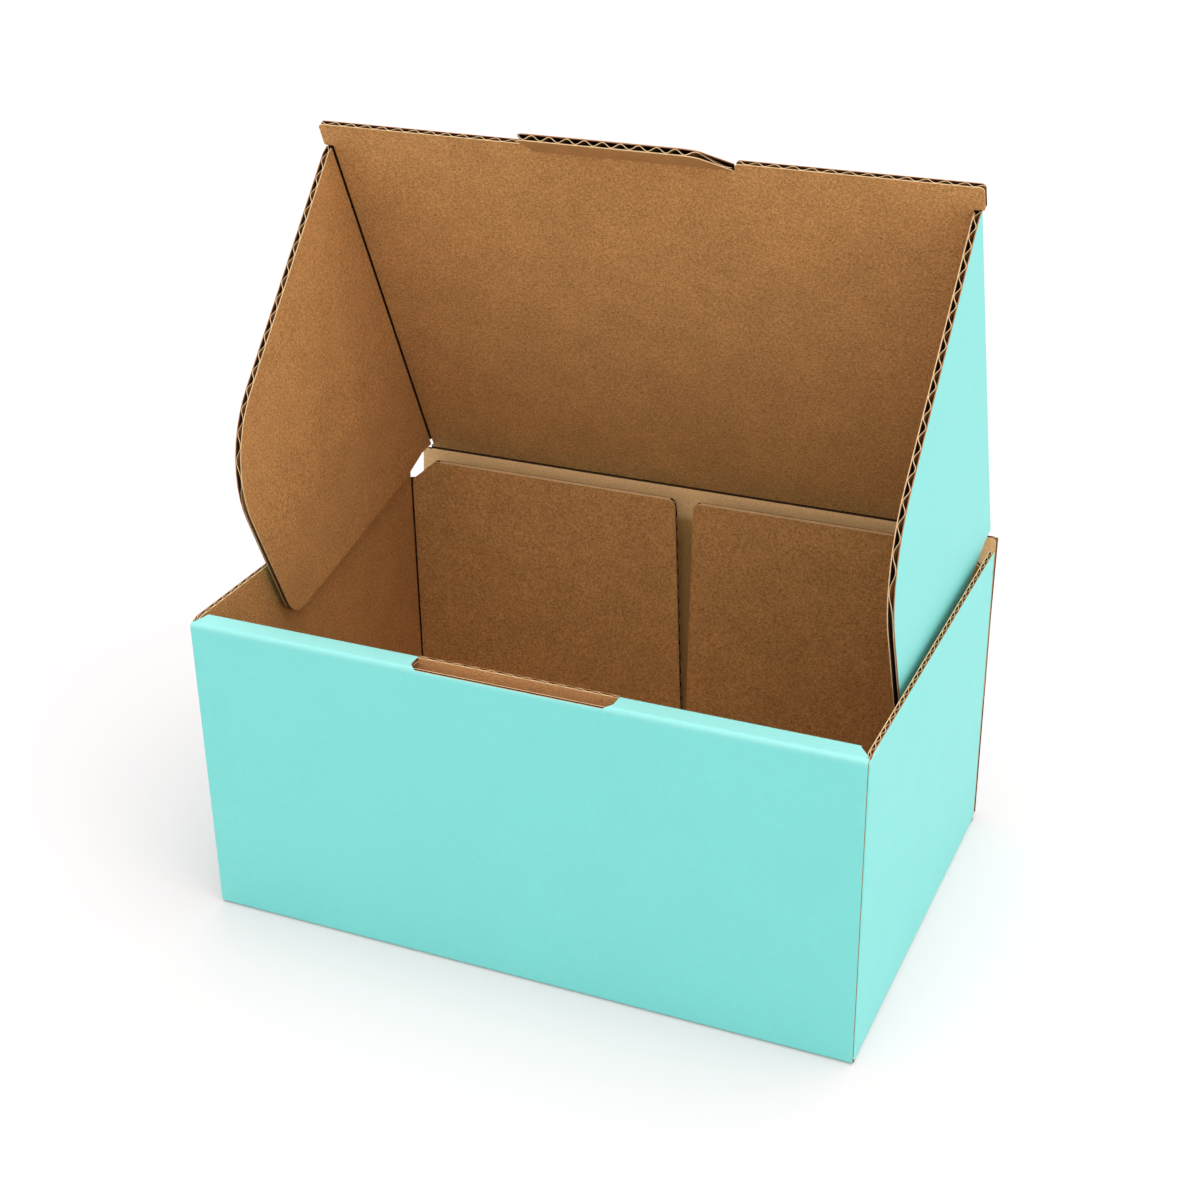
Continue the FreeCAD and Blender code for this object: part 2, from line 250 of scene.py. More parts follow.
def flap_frame():
    """The right rear flap's own axes: X to the left, Y up, Z to the back."""
    turn = Matrix(((-1, 0, 0), (0, 0, 1), (0, 1, 0))).to_4x4()
    return Matrix.Translation(joint_place("right_rear_flap_fold")) @ turn


MIRROR = Matrix.Diagonal((-1, 1, 1, 1))
SIDES = (("right", Matrix.Identity(4)), ("left", MIRROR))
QUARTER = Matrix.Rotation(-math.pi / 2, 4, "Z")


# ---- modelling --------------------------------------------------------------------------

def nothing_selected():
    """Leave edit mode and deselect every object."""
    if bpy.context.object and bpy.context.object.mode != "OBJECT":
        bpy.ops.object.mode_set(mode="OBJECT")
    bpy.ops.object.select_all(action="DESELECT")


def only(piece):
    """Make one object the selected and active one."""
    nothing_selected()
    piece.select_set(True)
    bpy.context.view_layer.objects.active = piece


@contextmanager
def editing(piece):
    """Edit mode on one object."""
    only(piece)
    bpy.ops.object.mode_set(mode="EDIT")
    yield
    bpy.ops.object.mode_set(mode="OBJECT")


def pick(piece, kind, test):
    """In edit mode, select the vertices or edges whose every vertex passes a test of place."""
    bpy.ops.mesh.select_mode(type=kind)
    bpy.ops.mesh.select_all(action="DESELECT")
    mesh = bmesh.from_edit_mesh(piece.data)
    for part in mesh.verts if kind == "VERT" else mesh.edges:
        corners = [part] if kind == "VERT" else part.verts
        if all(test(corner.co) for corner in corners):
            part.select_set(True)
    bmesh.update_edit_mesh(piece.data)


def named(name):
    """Name the object that was just added."""
    piece = bpy.context.object
    piece.name = name
    piece.data.name = name
    return piece


def corner_at(corners, i, level=0.0):
    """A corner's place, the directions to its neighbours and half the angle between them."""
    here, last, following = (
        Vector((*corners[k % len(corners)][:2], level)) for k in (i, i - 1, i + 1))
    last, following = (last - here).normalized(), (following - here).normalized()
    return here, last, following, last.angle(following) / 2


def round_corners(piece, corners, level):
    """Bevel the marked corners of a flat outline to their radii."""
    for i, (_, _, radius) in enumerate(corners):
        if not radius:
            continue
        here, _, _, half = corner_at(corners, i, level)
        swell = (1 + 2 * math.sin(half)) / (2 + 2 * math.sin(half))  # its square bevels an arc
        with editing(piece):
            pick(piece, "VERT", lambda spot: (spot - here).length < NEAR)
            bpy.ops.mesh.bevel(
                offset=radius / math.tan(half), offset_type="OFFSET", affect="VERTICES",
                segments=10, profile=swell * swell,
            )


def outline(name, corners, level=0.0):
    """A flat sheet from an outline; each corner is x, y and the radius that rounds it."""
    nothing_selected()
    bpy.ops.mesh.primitive_circle_add(vertices=len(corners), radius=0.1, fill_type="NGON")
    sheet = named(name)
    for vertex, (x, y, _) in zip(sheet.data.vertices, corners):
        vertex.co = (x, y, level)
    sheet.data.update()
    if sheet.data.polygons[0].normal.z < 0:
        sheet.data.flip_normals()
    round_corners(sheet, corners, level)
    return sheet


def extend(sheet, test, *moves):
    """Extrude the edges that pass a test, one move after another."""
    with editing(sheet):
        pick(sheet, "EDGE", test)
        for move in moves:
            bpy.ops.mesh.extrude_region_move(TRANSFORM_OT_translate={"value": move})


def crease(sheet, test, radius, segments=6):
    """Round the fold along the edges that pass a test."""
    with editing(sheet):
        pick(sheet, "EDGE", test)
        bpy.ops.mesh.bevel(
            offset=radius, offset_type="OFFSET", affect="EDGES", segments=segments, profile=0.5
        )


def folded(name, start, sweep, legs, radius):
    """A sheet with square folds along parallel creases: start, one leg after another."""
    nothing_selected()
    bpy.ops.mesh.primitive_plane_add(size=0.1)
    sheet = named(name)
    start, sweep = Vector(start), Vector(sweep)
    first = start + Vector(legs[0])
    for vertex, spot in zip(sheet.data.vertices, (start, start + sweep, first, first + sweep)):
        vertex.co = spot
    sheet.data.update()
    end = first
    folds = []
    for leg in legs[1:]:
        folds.append(end.copy())
        extend(sheet, on_line(end, sweep), leg)
        end = end + Vector(leg)
    for line in folds if radius else ():
        crease(sheet, on_line(line, sweep), radius)
    return sheet


def on_line(point, direction):
    """A test for places on the line through a point."""
    way = Vector(direction).normalized()
    point = Vector(point)
    return lambda spot: (spot - point - way * (spot - point).dot(way)).length < NEAR


def solidified(sheet, thickness, finishes, **settings):
    """Turn a sheet into a thin solid with its finishes."""
    for finish in finishes:
        sheet.data.materials.append(finish)
    only(sheet)
    bpy.ops.object.modifier_add(type="SOLIDIFY")
    modifier = sheet.modifiers[-1]
    modifier.thickness = thickness
    for setting, value in settings.items():
        setattr(modifier, setting, value)
    bpy.ops.object.modifier_apply(modifier=modifier.name)
    bpy.ops.object.shade_smooth_by_angle(angle=SMOOTH)
    return sheet


def thicken(sheet, thickness, finishes, facing):
    """Give a sheet its thickness behind its face, with a face, back and edge finish."""
    if sheet.data.polygons[0].normal.dot(Vector(facing)) < 0:
        sheet.data.flip_normals()
    return solidified(sheet, thickness, finishes, offset=-1, use_even_offset=True,
                      material_offset=1, material_offset_rim=2)


def cut_away(piece, cutter):
    """Cut one shape out of another; the new faces take the edge finish."""
    for finish in piece.data.materials:
        cutter.data.materials.append(finish)
    for face in cutter.data.polygons:
        face.material_index = 2
    only(piece)
    bpy.ops.object.modifier_add(type="BOOLEAN")
    boolean = piece.modifiers[-1]
    boolean.operation = "DIFFERENCE"
    boolean.solver = "EXACT"
    boolean.material_mode = "INDEX"
    boolean.object = cutter
    bpy.ops.object.modifier_apply(modifier=boolean.name)
    bpy.data.objects.remove(cutter)


def prism(name, corners, low, high):
    """A block with an outline in plan."""
    block = outline(name, corners, low)
    with editing(block):
        bpy.ops.mesh.select_all(action="SELECT")
        bpy.ops.mesh.extrude_region_move(TRANSFORM_OT_translate={"value": (0, 0, high - low)})
        bpy.ops.mesh.select_all(action="SELECT")
        bpy.ops.mesh.normals_make_consistent(inside=False)
    return block


def place(piece, matrix):
    """Put a mesh where it stands; a mirrored one has its faces turned outward again."""
    piece.data.transform(matrix)
    if matrix.determinant() < 0:
        piece.data.flip_normals()
    return piece


def joined(name, pieces):
    """Join several meshes into one piece."""
    nothing_selected()
    for piece in pieces:
        piece.select_set(True)
    bpy.context.view_layer.objects.active = pieces[0]
    bpy.ops.object.join()
    return named(name)


def fluting(name, left, right, low, high, level, pitch, trims=(), board=None):
    """Wavy paper: flutes along Y, waves along X, cut back by planes that face outward."""
    s = sizes()
    steps = max(6, round((right - left) / pitch * FACES_PER_FLUTE))
    nothing_selected()
    bpy.ops.mesh.primitive_grid_add(x_subdivisions=steps, y_subdivisions=1, size=1)
    sheet = named(name)
    swing = ((board or s.board) - 2 * s.liner - s.medium) / 2
    for vertex in sheet.data.vertices:
        x = left + (vertex.co.x + 0.5) * (right - left)
        y = low + (vertex.co.y + 0.5) * (high - low)
        vertex.co = (x, y, level + swing * math.cos(2 * math.pi * x / pitch))
    for point, out in trims:
        with editing(sheet):
            bpy.ops.mesh.select_all(action="SELECT")
            bpy.ops.mesh.bisect(plane_co=point, plane_no=out, clear_outer=True)
    finishes = [material("fluting"), material("cut edge")]
    return solidified(sheet, s.medium, finishes, offset=0, material_offset_rim=1)


def trims_of(corners):
    """Planes that cut back to a convex outline, as point and outward direction."""
    planes = []
    for a, b in zip(corners, corners[1:] + corners[:1]):
        point = Vector((a[0], a[1], 0))
        along = Vector((b[0] - a[0], b[1] - a[1], 0))
        if along.length > NEAR:
            planes.append((point, Vector((along.y, -along.x, 0)).normalized()))
    return planes


def rounded(corners, steps=8):
    """The points of a convex outline, anticlockwise, with its corners rounded."""
    points = []
    for i, (x, y, radius) in enumerate(corners):
        if not radius:
            points.append((x, y))
            continue
        here, last, following, half = corner_at(corners, i)
        centre = here + (last + following).normalized() * radius / math.sin(half)
        start = here + last * radius / math.tan(half) - centre
        turn = math.pi - 2 * half
        for step in range(steps + 1):
            spoke = Matrix.Rotation(turn * step / steps, 3, "Z") @ start
            points.append((centre.x + spoke.x, centre.y + spoke.y))
    return points


def faces_for(face):
    """Face, back and edge finishes of a liner that has this finish on its face; its back takes the
    dark crease finish, painted shade that shows in flute gaps and fold slots.
    """
    rim = "outer edge" if face == "printed" else "cut edge"
    return [material(face), material("crease"), material(rim)]


def liners(name, corners, board, inside=None, finish="kraft"):
    """Outer and inner liner of a flat panel with its mid-thickness on Z = 0."""
    s = sizes()
    outer = outline(name + "_printed", corners, board / 2)
    thicken(outer, s.liner, faces_for("printed"), (0, 0, 1))
    inner = outline(name + "_kraft", inside or corners, -board / 2)
    thicken(inner, s.liner, faces_for(finish), (0, 0, -1))
    return outer, inner


def fold_skin(name, centre, axis, lead, first, turn, radius, span, mirror=False):
    """A liner round the outside of a fold: a flat lead, then an arc round the joint."""
    s = sizes()
    axis, first = Vector(axis).normalized(), Vector(first).normalized()
    centre = Vector(centre)
    along_lead = first.cross(axis) * (1 if turn > 0 else -1)
    steps = 8
    rows = [centre + first * radius + along_lead * lead] if lead else []
    for i in range(steps + 1):
        spoke = Matrix.Rotation(turn * i / steps, 3, axis) @ first
        rows.append(centre + spoke * radius)
    nothing_selected()
    bpy.ops.mesh.primitive_plane_add(size=0.1)
    sheet = named(name)
    low, high = axis * span[0], axis * span[1]
    corners = (rows[0] + low, rows[0] + high, rows[1] + low, rows[1] + high)
    for vertex, spot in zip(sheet.data.vertices, corners):
        vertex.co = spot
    for last, row in zip(rows[1:], rows[2:]):
        extend(sheet, on_line(last, axis), row - last)
    start, end = centre + first * radius, rows[-1]
    thicken(sheet, s.liner, faces_for("printed"), first)
    if mirror:
        place(sheet, MIRROR)
        start, end = MIRROR @ start, MIRROR @ end
    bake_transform(sheet)
    return sheet


def crease_skin(name, rows, half, finish):
    """A narrow bare liner across the inside of a fold."""
    s = sizes()
    sheet = folded(
        name, Vector(rows[0]) + Vector((half, 0, 0)), (-2 * half, 0, 0),
        [b - a for a, b in zip(rows, rows[1:])], 0)
    thicken(sheet, s.liner, [material(finish)] * 2 + [material("cut edge")], (0, -1, 0))
    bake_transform(sheet)
    return sheet


# ---- finishes -----------------------------------------------------------------------------

def group(name, inputs, outputs):
    """A new shader node group with named sockets; inputs are name, socket type and value."""
    tree = bpy.data.node_groups.new(name, "ShaderNodeTree")
    for label, kind, value in inputs:
        socket = tree.interface.new_socket(label, in_out="INPUT", socket_type=kind)
        if value is not None:
            socket.default_value = value
    for label, kind in outputs:
        tree.interface.new_socket(label, in_out="OUTPUT", socket_type=kind)
    return tree, tree.nodes.new("NodeGroupInput"), tree.nodes.new("NodeGroupOutput")


def feed(tree, socket, value):
    """Set a socket to a number or a colour, or link another socket to it."""
    if isinstance(value, (int, float)):
        socket.default_value = value
    elif isinstance(value, tuple):
        socket.default_value = (*value, 1.0)
    else:
        tree.links.new(value, socket)


def math_node(tree, operation, *values):
    """A Math node fed by numbers or sockets."""
    node = tree.nodes.new("ShaderNodeMath")
    node.operation = operation
    for socket, value in zip(node.inputs, values):
        feed(tree, socket, value)
    return node.outputs[0]


def fade(tree, value, low, high, first=0.0, last=1.0, smooth=True):
    """A value that goes from first to last while another goes from low to high."""
    node = tree.nodes.new("ShaderNodeMapRange")
    if smooth:
        node.interpolation_type = "SMOOTHSTEP"
    for socket, number in zip(node.inputs, (value, low, high, first, last)):
        feed(tree, socket, number)
    return node.outputs[0]


def noise(tree, vector, scale, detail=2.0, roughness=0.5, stretch=None):
    """A noise value over a vector, stretched along an axis if asked."""
    if stretch:
        squeeze = tree.nodes.new("ShaderNodeVectorMath")
        squeeze.operation = "MULTIPLY"
        tree.links.new(vector, squeeze.inputs[0])
        squeeze.inputs[1].default_value = stretch
        vector = squeeze.outputs[0]
    node = tree.nodes.new("ShaderNodeTexNoise")
    tree.links.new(vector, node.inputs["Vector"])
    feed(tree, node.inputs["Scale"], scale)
    node.inputs["Detail"].default_value = detail
    node.inputs["Roughness"].default_value = roughness
    return node.outputs["Fac"]


def fibres_group():
    """Short paper fibres lying every way, and soft clouds of thicker and thinner pulp."""
    found = bpy.data.node_groups.get("paper fibres")
    if found:
        return found
    tree, inside, outside = group(
        "paper fibres",
        (("Vector", "NodeSocketVector", None), ("Fibres", "NodeSocketFloat", 900.0),
         ("Clouds", "NodeSocketFloat", 70.0)),
        (("Fibre", "NodeSocketFloat"), ("Cloud", "NodeSocketFloat")),
    )
    vector, scale = inside.outputs["Vector"], inside.outputs["Fibres"]
    strokes = [
        noise(tree, vector, scale, 2.0, 0.6, stretch)
        for stretch in ((0.55, 1, 1), (1, 0.55, 1), (1, 1, 0.55))
    ]
    total = math_node(tree, "ADD", math_node(tree, "ADD", strokes[0], strokes[1]), strokes[2])
    spread = math_node(tree, "MULTIPLY_ADD", total, 1.5, -1.75)
    clamped = tree.nodes.new("ShaderNodeClamp")
    tree.links.new(spread, clamped.inputs["Value"])
    tree.links.new(clamped.outputs[0], outside.inputs["Fibre"])
    cloud = noise(tree, vector, inside.outputs["Clouds"], 4.0, 0.6)
    tree.links.new(cloud, outside.inputs["Cloud"])
    return tree


def specks_group():
    """Sparse dark bits of bark in the pulp."""
    found = bpy.data.node_groups.get("bark specks")
    if found:
        return found
    tree, inside, outside = group(
        "bark specks",
        (("Vector", "NodeSocketVector", None), ("Scale", "NodeSocketFloat", 260.0),
         ("Size", "NodeSocketFloat", 0.13), ("Share", "NodeSocketFloat", 0.35)),
        (("Speck", "NodeSocketFloat"),),
    )
    cells = tree.nodes.new("ShaderNodeTexVoronoi")
    tree.links.new(inside.outputs["Vector"], cells.inputs["Vector"])
    tree.links.new(inside.outputs["Scale"], cells.inputs["Scale"])
    near = fade(tree, cells.outputs["Distance"], 0.0, inside.outputs["Size"], 2.2, 0.0)
    split = tree.nodes.new("ShaderNodeSeparateColor")
    tree.links.new(cells.outputs["Color"], split.inputs[0])
    chosen = math_node(tree, "LESS_THAN", split.outputs[0], inside.outputs["Share"])
    speck = math_node(tree, "MINIMUM", near, chosen)
    tree.links.new(speck, outside.inputs["Speck"])
    return tree


def placed(tree, made, vector, values):
    """Place a node group in a material with its own values."""
    node = tree.nodes.new("ShaderNodeGroup")
    node.node_tree = made
    tree.links.new(vector, node.inputs["Vector"])
    for label, value in values.items():
        node.inputs[label].default_value = value
    return node


def mixed(tree, factor, first, second, blend="MIX"):
    """A colour mixed from two colours or sockets."""
    node = tree.nodes.new("ShaderNodeMix")
    node.data_type = "RGBA"
    node.blend_type = blend
    for socket, value in ((0, factor), (6, first), (7, second)):
        feed(tree, node.inputs[socket], value)
    return node.outputs[2]


def scaled(tone, factor):
    """A colour made lighter or darker."""
    return tuple(min(1.0, value * factor) for value in tone)


PAPERS = {
    # finish: colour name, fibre scale, fibre contrast, cloud scale, cloud contrast, specks,
    # speck tone, bump, roughness
    "printed": ("ink", 700, 0.030, 40, 0.035, 0.10, 0.93, 0.10, (0.42, 0.52)),
    "kraft": ("kraft", 1700, 0.52, 60, 0.20, 0.12, 0.25, 0.40, (0.82, 0.95)),
    "pressed": ("kraft", 1700, 0.22, 60, 0.14, 0.12, 0.25, 0.40, (0.82, 0.95)),
    # crease: painted shade for liners' backs and the lid's crease valley, dark where light does not
    # reach
    "crease": ("painted_shade", 900, 0.30, 26, 0.12, 0.05, 0.20, 0.35, (0.82, 0.95)),
    "cut edge": ("edge", 900, 0.20, 120, 0.14, 0.30, 0.70, 0.30, (0.85, 0.95)),
    "outer edge": ("outer_edge", 900, 0.30, 120, 0.20, 0.30, 0.70, 0.30, (0.85, 0.95)),
    "fluting": ("flute", 700, 0.16, 90, 0.12, 0.30, 0.70, 0.25, (0.85, 0.95)),
}

FIBRE_TONE = (1.0, 1.06, 1.18)  # how much of each colour a fibre takes away

PAINTED_BANDS = {
    # finish: where the band starts and is full along each coordinate in mm, its tone and strength;
    # the bands are painted light and shade
    # Painted highlight: the front strip's top and its fold mixed towards white, for sheen and
    # partly for ink stretched over the fold
    "printed": ((("Z", 117.2, 119.2), ("Y", -72.5, -73.5)), (1.0, 1.0, 1.0), 0.11),
    # Painted light: the back wall's inside made lighter above about 106 mm, near the lid's fold,
    # for light from above that the lamps do not bring under the lid
    "pressed": ((("Z", 106.0, 109.5), ("Y", -120.0, 40.0)), (1.0, 0.60, 0.29), 0.95),
    # Painted shade: cut edges at the front wall's ends, below its top, darkened for the shade in
    # the seam beside the side walls
    "cut edge": ((("Y", -81.8, -82.4), ("Z", 118.6, 118.0)), (0.16, 0.09, 0.04), 0.75),
}


def painted_band(tree, place_in, colour_in, finish):
    """A band of another tone: painted light or shade along a fold, a strip or a seam."""
    limits, tone, strength = PAINTED_BANDS[finish]
    split = tree.nodes.new("ShaderNodeSeparateXYZ")
    tree.links.new(place_in, split.inputs[0])
    factor = strength
    for coordinate, start, end in limits:
        share = fade(tree, split.outputs[coordinate], start * MM, end * MM)
        factor = math_node(tree, "MULTIPLY", share, factor)
    return mixed(tree, factor, colour_in, tone)


def material(finish):
    """The paper finish of that name, built once."""
    found = bpy.data.materials.get(finish)
    if found:
        return found
    tone, fibres, contrast, clouds, depth, share, dark, bump, gloss = PAPERS[finish]
    made = bpy.data.materials.new(finish)
    made.use_nodes = True
    tree = made.node_tree
    shader = tree.nodes["Principled BSDF"]
    place_in = tree.nodes.new("ShaderNodeTexCoord").outputs["Object"]
    paper = placed(tree, fibres_group(), place_in, {"Fibres": fibres, "Clouds": clouds})
    specks = placed(tree, specks_group(), place_in, {"Share": share})
    base = tuple(getattr(bpy.context.scene.mailer_colours, tone))
    made.diffuse_color = (*base, 1.0)
    cloudy = mixed(tree, paper.outputs["Cloud"], scaled(base, 1 - depth), scaled(base, 1 + depth))
    # Painted light or shade: finishes listed in the band table get a band of another tone.
    if finish in PAINTED_BANDS:
        cloudy = painted_band(tree, place_in, cloudy, finish)
    thick = tuple(1 - contrast * share_of for share_of in FIBRE_TONE)
    darker = mixed(tree, paper.outputs["Fibre"], thick, (1.0, 1.0, 1.0))
    fibrous = mixed(tree, 1.0, cloudy, darker, "MULTIPLY")
    faint = math_node(tree, "MULTIPLY", specks.outputs["Speck"], 1 - dark)
    tree.links.new(
        mixed(tree, faint, fibrous, scaled(base, 0.25)), shader.inputs["Base Color"])
    rough = fade(tree, paper.outputs["Fibre"], 0.0, 1.0, *gloss, smooth=False)
    tree.links.new(rough, shader.inputs["Roughness"])
    shader.inputs["Specular IOR Level"].default_value = 0.5 if finish == "printed" else 0.25
    relief = tree.nodes.new("ShaderNodeBump")
    relief.inputs["Strength"].default_value = bump
    relief.inputs["Distance"].default_value = 0.3 * MM
    tree.links.new(paper.outputs["Fibre"], relief.inputs["Height"])
    tree.links.new(relief.outputs[0], shader.inputs["Normal"])
    return made


# ---- the pieces ---------------------------------------------------------------------------

def finish_piece(piece, body, slot, *nodes):
    """A piece rides on its body and stands for CAD nodes; slot is not used."""
    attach(piece, body)
    if nodes:
        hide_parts(*nodes)


def finish_panel(body, slot, pieces, matrix):
    """Put a panel's liners and waves where they stand, on its body, and hide its CAD part."""
    for piece in pieces:
        place(piece, matrix)
        finish_piece(piece, body, slot)
    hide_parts(body)


STRIP_REAR = ((-0.35, 0.25), (0.0, 0.8))  # past the tip and before the rear, in radii
STRIP_FRONT = ((-1.2, 3.4), (-0.2, 2.2), (1.0, 1.6), (2.0, 1.6))  # past the side, behind the face


class MAILER_OT_tray(bpy.types.Operator):
    """Base, side walls, trapped dust flaps and the roll-over front wall"""

    bl_idname = "mailer.tray"
    bl_label = "Tray"

    def trough(self, name, x, floor, top, front, back, radius, jog):
        """A liner of the base and side walls, with the side walls' trapped front flaps."""
        s = sizes()
        ramp = tray_box()[1] + s.front_end + s.front_ramp
        sheet = folded(
            name, (x, front, top), (0, back - front, 0),
            ((0, 0, floor - top), (-2 * x, 0, 0), (0, 0, top - floor)), radius,
        )
        with editing(sheet):
            bpy.ops.mesh.select_all(action="SELECT")
            bpy.ops.mesh.bisect(plane_co=(0, ramp, 0), plane_no=(0, 1, 0))
        for side in (1, -1):
            corner = on_line((side * x, front, 0), (0, 0, 1))
            extend(sheet, corner, (-side * (s.board + HAIR), 0, 0))
            crease(sheet, corner, 0.6 * radius)
            end = on_line((side * (x - s.board - HAIR), front, 0), (0, 0, 1))
            rest = x - s.board - HAIR - s.dust_jog - s.dust_reach
            extend(sheet, end, (-side * s.dust_jog, jog, 0), (-side * rest, 0, 0))
            with editing(sheet):
                pick(sheet, "VERT", lambda spot: abs(spot.z - top) < NEAR
                     and spot.y < ramp - NEAR and spot.x * side > x - s.board)
                bpy.ops.transform.translate(value=(0, 0, -s.front_dip))
                pick(sheet, "VERT", lambda spot: abs(spot.z - top) < NEAR
                     and 0 < spot.x * side < x - s.board)
                bpy.ops.transform.translate(value=(0, 0, -s.front_dip - s.board))
        return sheet

    def front_wall(self, x, front, top):
        """The printed liner of the front wall, its strip and its inside panel."""
        s = sizes()
        rear = front + s.strip
        low = s.board + s.gap
        base = front + s.strip / 2 - s.board / 2
        sheet = folded(
            "front_printed", (-x, base, 0), (2 * x, 0, 0),
            ((0, front - base, 0), (0, 0, top), (0, s.strip, 0), (0, 0, low - top)), s.rim_fold,
        )
        thicken(sheet, s.liner, faces_for("printed"), (0, 0, -1))
        n, middle = s.notch, front + s.strip / 2
        cut_away(sheet, prism("notch", [
            (-n, front, s.notch_corner), (n, front, s.notch_corner),
            (n, rear + OVER, 0), (-n, rear + OVER, 0)], top - s.notch_drop, top + OVER))
        cut_away(sheet, prism("notch", [
            (-n, middle, 0), (n, middle, 0), (n, rear + OVER, 0), (-n, rear + OVER, 0)],
            top - s.rim_fold, top))
        for side, tip, turn in (
            (1, x - s.strip_end, s.strip_turn), (-1, x - s.strip_end_left, s.strip_turn / 2)
        ):
            ends = [
                (tip - turn, rear + OVER), (tip - turn, rear),
                *((tip + past * turn, rear - before * turn) for past, before in STRIP_REAR),
                (tip + s.strip_slant, rear - turn - 2 * s.strip_slant),
                *((x + past * MM, front + behind * MM) for past, behind in STRIP_FRONT),
                (x + 2 * OVER, rear + OVER)]
            corners = [(side * px, py, 0) for px, py in ends]
            cut_away(sheet, prism("strip_end", corners, s.board, top + OVER))
        return sheet

    def inner_liners(self, x, front, top):
        """The bare liners inside the front wall and its strip, and the notch's printed lip."""
        s = sizes()
        n, under, thick = s.notch, top - s.front_board, s.front_board
        tip, press = x - s.strip_end - s.strip_tuck, s.front_press
        low, edge = s.board + s.gap, top - 2 * HAIR
        lip = outline("notch_printed", [
            (-n, top - s.rim_fold, 0), (n, top - s.rim_fold, 0), (n, edge, 0), (-n, edge, 0)])
        stand = Matrix(((1, 0, 0), (0, 0, 1), (0, 1, 0))).to_4x4()
        place(lip, Matrix.Translation((0, front + s.strip, 0)) @ stand)
        made = [thicken(lip, s.liner, faces_for("printed"), (0, 1, 0))]
        for y, half, facing, edge in (
            (front + thick, x - press, 1, top - s.notch_drop),
            (front + s.strip - thick, tip, -1, edge),
        ):
            sheet = outline("front_kraft", [
                (-half, low, 0), (half, low, 0), (half, under, 0), (n, under, 0), (n, edge, 0),
                (-n, edge, 0), (-n, under, 0), (-half, under, 0)])
            place(sheet, Matrix.Translation((0, y, 0)) @ stand)
            made.append(thicken(sheet, s.liner, faces_for("pressed"), (0, facing, 0)))
        for side in (1, -1):
            sheet = folded(
                "front_end_kraft", (side * (x - press), front + thick, low), (0, 0, under - low),
                ((side * press, s.front_end - thick, 0),), 0)
            made.append(thicken(sheet, s.liner, faces_for("kraft"), (0, 1, 0)))
            sheet = outline("strip_kraft", [
                (side * n, front + thick, 0), (side * tip, front + thick, 0),
                (side * tip, front + s.strip - thick, 0), (side * n, front + s.strip - thick, 0)],
                under)
            made.append(thicken(sheet, s.liner, faces_for("kraft"), (0, 0, -1)))
        return made

    def waves(self, x, side_x, front, back, top, side_top):
        """Fluting of the side walls, the front wall's two layers and the strip."""
        s = sizes()
        half = s.front_board / 2
        low = s.board + CLEAR
        curl = 1.5 * s.rim_fold
        n, under = s.notch, top - curl
        tip = x - s.strip_end - s.strip_tuck
        made = []
        stand = Matrix(((1, 0, 0), (0, 0, -1), (0, 1, 0))).to_4x4()
        for y, reach, edge in (
            (front + half, x - s.front_press, top - s.rim_fold),
            (front + s.strip - half, tip, top - s.medium),
        ):
            for left, right, high in ((-reach, -n, under), (-n, n, edge), (n, reach, under)):
                sheet = fluting(
                    "waves", left + HAIR, right - HAIR, low, high, 0, s.pitch,
                    board=s.front_board)
                made.append(place(sheet, Matrix.Translation((0, y, 0)) @ stand))
        for left, right in ((-tip, -n), (n, tip)):
            made.append(fluting(
                "waves", left + HAIR, right - HAIR, front + curl, front + s.strip - curl,
                top - half, s.pitch, board=s.front_board))
        turn = Matrix(((0, 0, 1), (1, 0, 0), (0, 1, 0))).to_4x4()
        for side in (1, -1):
            sheet = fluting(
                "waves", front + s.front_end + s.liner, back, low, side_top - LIP,
                side * (side_x - s.side_board / 2), s.side_pitch,
                [((front + s.front_end + s.front_ramp, side_top - LIP, 0),
                  (-s.front_dip, s.front_ramp, 0))], s.side_board)
            made.append(place(sheet, turn))
        return made

    def execute(self, context):
        s = sizes()
        side_x, front, back, side_top = tray_box()
        x, top = side_x - s.inset, side_top - s.front_drop
        flap_y = front + s.front_end
        jog = (s.strip - s.board) / 2 - s.front_end
        side_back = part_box("left_rear_flap")[0].y - s.gap
        outer = self.trough("trough", side_x, 0, side_top, flap_y, side_back, s.fold, jog)
        extend(outer, lambda spot: spot.z < NEAR and abs(spot.y - side_back) < NEAR,
               (0, back - side_back, 0))
        thicken(outer, s.liner, faces_for("printed"), (1, 0, 0))
        printed = joined("tray_printed", [outer, self.front_wall(x, front, top)])
        finish_piece(printed, "tray", "printed_board", "tray")
        inner = self.trough(
            "trough_kraft", side_x - s.side_board, s.board, side_top, flap_y + s.side_board,
            side_back, s.inner_fold, jog)
        thicken(inner, s.liner, faces_for("kraft"), (-1, 0, 0))
        kraft = joined("tray_kraft", [inner, *self.inner_liners(x, front, top)])
        finish_piece(kraft, "tray", "printed_board")
        waves = self.waves(x, side_x, front, side_back, top, side_top)
        finish_piece(joined("tray_fluting", waves), "tray", "printed_board")
        return {"FINISHED"}


